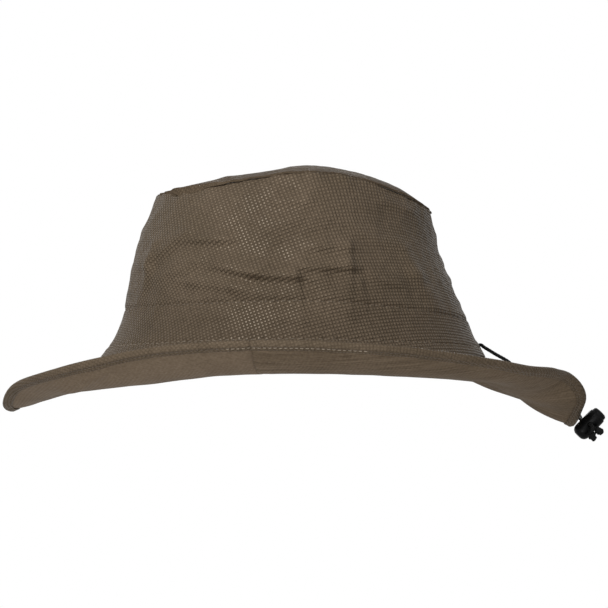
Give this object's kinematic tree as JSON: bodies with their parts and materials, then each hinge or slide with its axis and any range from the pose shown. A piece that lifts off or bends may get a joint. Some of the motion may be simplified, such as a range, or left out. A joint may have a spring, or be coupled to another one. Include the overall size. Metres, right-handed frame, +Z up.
{
  "type": "brimmed rain hat",
  "caption": "Soft brimmed fabric hat with a panelled crown, a stiffened brim that curls up at its sides, an inner sweatband and a rear drawcord held by a push-button barrel cord lock.",
  "frame": {"origin": "middle of the head opening, level with the crown's base seam at the front and the back", "axes": "-X to the front of the hat, +X to the back, -Y and +Y to its two sides, +Z up through the crown"},
  "size_m": [0.3705, 0.3206, 0.1695],
  "materials": {
    "shell_cloth": "embossed matte with a soft sheen",
    "under_cloth": "embossed matte",
    "band_cloth": "matte",
    "tape_cloth": "satin",
    "foam_sheet": "matte closed-cell foam",
    "black_cord": "braided matte",
    "black_plastic": "satin moulded",
    "black_brass": "blackened",
    "spring_steel": "bright wire"
  },
  "bodies": {
    "hat": {"crown_tip": "shell_cloth", "crown_side_left": "shell_cloth", "crown_side_right": "shell_cloth", "back_seam_tape": "tape_cloth", "front_seam_tape": "tape_cloth", "tip_seam_tape": "tape_cloth", "brim_top_front": "shell_cloth", "brim_top_back": "shell_cloth", "brim_under_front": "under_cloth", "brim_under_back": "under_cloth", "brim_stiffener": "foam_sheet", "sweatband": "band_cloth", "drawcord_in_band": "black_cord", "drawcord_rear_end": "black_cord", "drawcord_side_end": "black_cord", "cord_knot_rear": "black_cord", "cord_knot_side": "black_cord", "eyelet_rear": "black_brass", "eyelet_side": "black_brass", "eyelet_washer_rear": "black_brass", "eyelet_washer_side": "black_brass"},
    "cord_lock": {"lock_barrel": "black_plastic", "lock_spring": "spring_steel"},
    "lock_button": {"lock_plunger": "black_plastic"}
  },
  "joints": [
    {"name": "lock_slide", "type": "slide", "parent": "hat", "child": "cord_lock", "axis": [-0.1804, 0.972, 0.1503], "range_m": [0, 0.0065]},
    {"name": "lock_press", "type": "slide", "parent": "cord_lock", "child": "lock_button", "axis": [-0.6989, -0.0191, -0.715], "range_m": [0, 0.0025], "stiffness_N_per_m": 600, "springref_m": -0.004, "deforming": ["lock_spring"]}
  ]
}
